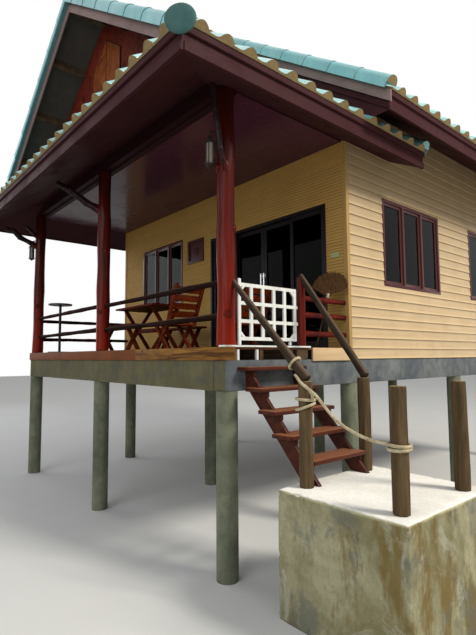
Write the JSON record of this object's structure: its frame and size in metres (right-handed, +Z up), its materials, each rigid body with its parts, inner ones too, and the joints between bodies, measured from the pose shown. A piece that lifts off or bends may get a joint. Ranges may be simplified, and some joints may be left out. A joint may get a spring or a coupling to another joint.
{
  "type": "stilt house",
  "caption": "Timber bungalow raised on round concrete columns, with a tiled hip-and-gable veranda, log posts, a gated plank stair and a concrete landing block.",
  "frame": {"origin": "centre of the near front corner column's foot, on the ground", "axes": "+X to the right along the veranda front, +Y to the back of the house, +Z up"},
  "size_m": [9.1997, 9.7139, 8.4271],
  "materials": {
    "concrete_column": "smooth cast concrete, painted grey, stained",
    "concrete_beam": "cast concrete, grey-blue paint, damp stains",
    "rough_concrete": "weathered concrete with algae stains",
    "joist_timber": "rough sawn",
    "deck_timber": "worn boards",
    "bare_timber": "planed, unpainted",
    "edge_paint": "cream gloss paint",
    "red_log": "red-brown gloss on a peeled log",
    "dark_beam": "dark brown paint",
    "grey_log": "weathered, unpainted",
    "gate_white": "white gloss paint",
    "stair_timber": "red-brown paint",
    "rope": "laid rope, sun bleached",
    "siding_ochre": "ochre paint on ribbed boards",
    "siding_cream": "cream paint on lapped boards",
    "trim_paint": "tan paint",
    "door_brown": "dark brown, satin",
    "window_brown": "dark red-brown gloss",
    "glazing": "clear",
    "ceiling_brown": "brown paint, satin",
    "ceiling_pale": "off-white paint",
    "eave_brown": "red-brown gloss paint",
    "teal_tile": "glazed concrete tile, turquoise",
    "gable_timber": "orange-brown varnish",
    "furniture_timber": "orange-brown varnish",
    "dark_metal": "black paint"
  },
  "bodies": {
    "house": {"columns": "concrete_column", "long_beams": "concrete_beam", "cross_beams": "concrete_beam", "floor_joists": "joist_timber", "veranda_floor": "deck_timber", "house_floor": "deck_timber", "front_edge_board": "bare_timber", "gate_sill": "gate_white", "side_edge_boards": "edge_paint", "veranda_posts": "red_log", "front_porch_beam": "dark_beam", "side_porch_beams": "dark_beam", "gate_post": "red_log", "log_rails": "grey_log", "side_rails": "red_log", "handrails": "grey_log", "gate_hinges": "dark_metal", "stair_stringers": "stair_timber", "stair_treads": "stair_timber", "landing_block": "rough_concrete", "landing_posts": "grey_log", "rope_ties": "rope", "rope_span": "rope", "front_wall_left": "siding_ochre", "front_wall_right": "siding_ochre", "front_wall_head": "siding_ochre", "upper_front_wall": "eave_brown", "side_wall_right": "siding_cream", "side_wall_left": "siding_cream", "back_wall": "siding_cream", "corner_trims": "trim_paint", "door_frame": "door_brown", "door_fixed_leaves": "door_brown", "window_frames": "window_brown", "fixed_glass": "glazing", "wall_panel": "window_brown", "veranda_ceiling": "ceiling_brown", "house_ceiling": "ceiling_pale", "front_eave": "eave_brown", "side_eaves": "eave_brown", "main_eaves": "eave_brown", "roof_front": "teal_tile", "roof_porch_right": "teal_tile", "roof_porch_left": "teal_tile", "roof_main_right": "teal_tile", "roof_main_left": "teal_tile", "roof_caps": "teal_tile", "barge_boards": "eave_brown", "purlins": "joist_timber", "gable_wall": "gable_timber", "picnic_set": "furniture_timber", "bar_table": "dark_metal", "wall_lantern": "dark_metal"},
    "gate": {"gate": "gate_white"},
    "door_left": {"door_leaf_left": "door_brown", "door_glass_left": "glazing"},
    "door_right": {"door_leaf_right": "door_brown", "door_glass_right": "glazing"}
  },
  "joints": [
    {"name": "gate_hinge", "type": "hinge", "parent": "house", "child": "gate", "pos_m": [0.062, 0.124, 2.8], "axis": [0, 0, 1], "range_deg": [0, 90]},
    {"name": "door_slide_left", "type": "slide", "parent": "house", "child": "door_left", "axis": [-1, 0, 0], "range_m": [0, 0.55]},
    {"name": "door_slide_right", "type": "slide", "parent": "house", "child": "door_right", "axis": [1, 0, 0], "range_m": [0, 0.55]}
  ]
}
